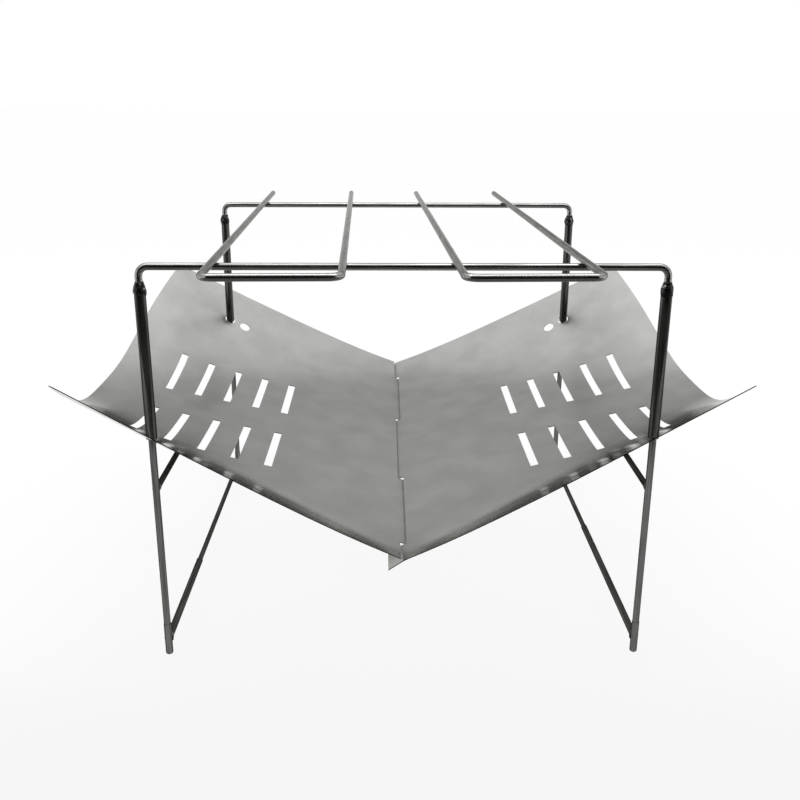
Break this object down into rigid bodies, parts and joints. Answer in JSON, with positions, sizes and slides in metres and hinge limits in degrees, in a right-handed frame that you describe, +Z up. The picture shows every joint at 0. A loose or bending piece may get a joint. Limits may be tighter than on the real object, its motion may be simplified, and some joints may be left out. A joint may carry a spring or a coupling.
{
  "type": "folding camping wood stove",
  "caption": "Folding camping wood stove: two sprung, slotted steel sheets interlocked along a seam, hung in a wire frame with lift-off bars and loose U-shaped pot rests.",
  "frame": {"origin": "on the ground, at the middle of the four feet", "axes": "+X to the stove's right as seen from the front, +Y to its rear, +Z up; the front faces -Y"},
  "size_m": [0.4096, 0.3816, 0.2359],
  "materials": {
    "sheet_steel": "cold-rolled stainless sheet, satin",
    "wire_steel": "drawn stainless wire and tube, polished",
    "rod_steel": "drawn stainless rod, dull"
  },
  "bodies": {
    "stand": {"front_left_leg": "rod_steel", "front_right_leg": "rod_steel", "rear_left_leg": "rod_steel", "rear_right_leg": "rod_steel", "front_left_foot": "rod_steel", "front_right_foot": "rod_steel", "rear_left_foot": "rod_steel", "rear_right_foot": "rod_steel", "left_upper_rail": "rod_steel", "left_lower_rail_tube": "rod_steel", "left_lower_rail_rod": "rod_steel", "right_upper_rail": "rod_steel", "right_lower_rail_tube": "rod_steel", "right_lower_rail_rod": "rod_steel", "left_sheet": "sheet_steel", "right_sheet": "sheet_steel"},
    "front_gate": {"front_gate_bar": "wire_steel", "front_left_gate_tube": "wire_steel", "front_right_gate_tube": "wire_steel"},
    "rear_gate": {"rear_gate_bar": "wire_steel", "rear_left_gate_tube": "wire_steel", "rear_right_gate_tube": "wire_steel"},
    "left_pot_rest_body": {"left_pot_rest": "wire_steel"},
    "right_pot_rest_body": {"right_pot_rest": "wire_steel"}
  },
  "joints": [
    {"name": "front_gate_lift", "type": "slide", "parent": "stand", "child": "front_gate", "axis": [0, 0, 1], "range_m": [0, 0.085]},
    {"name": "rear_gate_lift", "type": "slide", "parent": "stand", "child": "rear_gate", "axis": [0, 0, 1], "range_m": [0, 0.085]},
    {"name": "left_pot_rest_slide", "type": "slide", "parent": "front_gate", "child": "left_pot_rest_body", "axis": [1, 0, 0], "range_m": [-0.02, 0.025]},
    {"name": "right_pot_rest_slide", "type": "slide", "parent": "front_gate", "child": "right_pot_rest_body", "axis": [1, 0, 0], "range_m": [-0.02, 0.02]}
  ],
  "couplings": [
    {"joint": "rear_gate_lift", "follows": "front_gate_lift", "ratio": 1}
  ]
}
